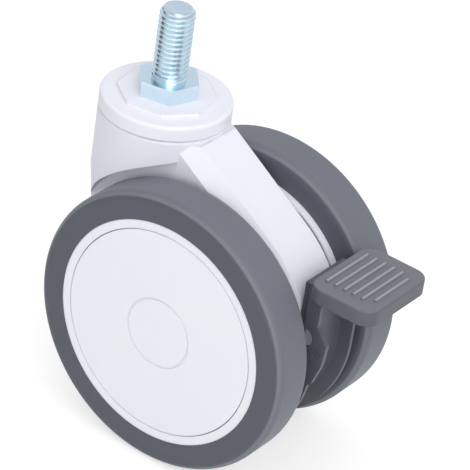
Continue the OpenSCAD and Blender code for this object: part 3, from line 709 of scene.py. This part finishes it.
def looking_rays(tree):
    """Two values: 1 on the camera's own rays, and 1 on those from mirrors and glass."""
    seen = add_node(tree, "ShaderNodeLightPath").outputs
    mirrored = add_node(tree, MATH, {0: seen["Is Glossy Ray"], 1: seen["Is Transmission Ray"]},
                        operation="MAXIMUM")
    return seen["Is Camera Ray"], mirrored.outputs[0]


floor_z = cad_box[0][2] - FLOOR_GAP
floor_mesh = bpy.data.meshes.new("floor")
floor_mesh.from_pydata([(-FLOOR_HALF, -FLOOR_HALF, floor_z), (FLOOR_HALF, -FLOOR_HALF, floor_z),
                        (FLOOR_HALF, FLOOR_HALF, floor_z), (-FLOOR_HALF, FLOOR_HALF, floor_z)],
                       [], [(0, 1, 2, 3)])
floor = bpy.data.objects.new("floor", floor_mesh)
scene.collection.objects.link(floor)
floor_paper, tree = new_finish("white_paper_sweep")
by_camera, mirrored = looking_rays(tree)
shown = add_node(tree, MATH, {0: by_camera, 1: mirrored}, operation="MAXIMUM")
glow_level = add_node(tree, MATH, {0: shown.outputs[0], 1: PAPER_GLOW}, operation="MULTIPLY")
paper = add_node(tree, "ShaderNodeBsdfDiffuse", {
    "Color": (PAPER_GREY, PAPER_GREY, PAPER_GREY, 1.0)})
glow = add_node(tree, "ShaderNodeEmission", {"Color": WHITE, "Strength": glow_level.outputs[0]})
both = add_node(tree, "ShaderNodeAddShader", {0: paper.outputs["BSDF"], 1: glow.outputs[0]})
add_node(tree, "ShaderNodeOutputMaterial", {"Surface": both.outputs[0]})
floor_mesh.materials.append(floor_paper)
print("floor at", round(floor_z / MM, 2), "mm")

# %% [markdown]
# ## The studio's light
# An even white studio lights the castor from all round, and three broad lamps model
# it: a key to the front right, a fill beside it, and a weak one above, so that the left
# of the fork's head falls off softly. One strong lamp could do, but its shadow would
# be hard and the whites would clip.

# %% Studio walls
WALL_LEVEL = 0.73
CEILING_IN_METAL = 0.62

world = bpy.data.worlds.new("studio")
world.use_nodes = True
tree = world.node_tree
tree.nodes.clear()
by_camera, mirrored = looking_rays(tree)
level_of = add_node(tree, "ShaderNodeMapRange", {
    "Value": by_camera, "To Min": WALL_LEVEL, "To Max": 1.0})
# Metal sees the studio's walls white, its ceiling dimmer, and both a little blue.
direction = add_node(tree, "ShaderNodeTexCoord").outputs["Generated"]
looking = add_node(tree, "ShaderNodeSeparateXYZ", {"Vector": direction})
ceiling = add_node(tree, "ShaderNodeMapRange", {
    "Value": looking.outputs["Z"], "From Min": 0.0, "From Max": 1.0,
    "To Min": 1.0, "To Max": CEILING_IN_METAL})
strength = add_node(tree, "ShaderNodeMix", {
    "Factor": mirrored, "A": level_of.outputs["Result"], "B": ceiling.outputs["Result"]},
    data_type="FLOAT")
hue = add_node(tree, "ShaderNodeMix", {
    MIX_BY: mirrored, MIX_FROM: WHITE, MIX_TO: linear("F2F6FF")}, data_type="RGBA")
sky = add_node(tree, "ShaderNodeBackground", {
    "Color": hue.outputs[MIXED], "Strength": strength.outputs[0]})
add_node(tree, "ShaderNodeOutputWorld", {"Surface": sky.outputs[0]})
scene.world = world
print("walls at", WALL_LEVEL, "of white")

# %% Lamps
LAMP_WIDTH = 0.9
LAMPS = (("key_lamp", (0.86, -1.07, 0.71), 6.3),  # name, metres from the aim, watts
         ("fill_lamp", (1.1, -0.5, 1.0), 3.0),
         ("top_lamp", (0.2, -0.3, 1.4), 1.8))
for name, offset, power in LAMPS:
    lamp = bpy.data.lights.new(name, "AREA")
    lamp.shape = "DISK"
    lamp.size = LAMP_WIDTH
    lamp.energy = power
    holder = bpy.data.objects.new(name, lamp)
    holder.location = VIEW_AIM + Vector(offset)
    holder.rotation_euler = Vector(offset).to_track_quat("Z", "Y").to_euler()
    scene.collection.objects.link(holder)
print("lamps:", [name for name, _, _ in LAMPS])

# %% [markdown]
# ## The black card
# Bright metal on white paper looks flat, so a photographer stands a black card beside
# it. The dark glints could be painted on, but they would not move with the light. Only
# mirrors see this card, and the thread's grooves catch it.

# %% Black card
CARD_POINTS = ((-0.40, 0.12), (-0.24, -0.36))  # its two foot points in plan, in metres
CARD_LOW = -0.115
CARD_HIGH = 0.13
CARD_BLACK = (0.004, 0.004, 0.005, 1.0)
card_mesh = bpy.data.meshes.new("black_card")
card_mesh.from_pydata([(x, y, z) for z in (CARD_LOW, CARD_HIGH) for x, y in CARD_POINTS],
                      [], [(0, 1, 3, 2)])
card_paper, tree = new_finish("black_card_paper")
ink = add_node(tree, "ShaderNodeBsdfDiffuse", {"Color": CARD_BLACK})
add_node(tree, "ShaderNodeOutputMaterial", {"Surface": ink.outputs["BSDF"]})
card_mesh.materials.append(card_paper)
card = bpy.data.objects.new("black_card", card_mesh)
card.visible_camera = False
card.visible_diffuse = False
card.visible_shadow = False
scene.collection.objects.link(card)
print("card", round((Vector(CARD_POINTS[0]) - Vector(CARD_POINTS[1])).length, 2), "m wide")
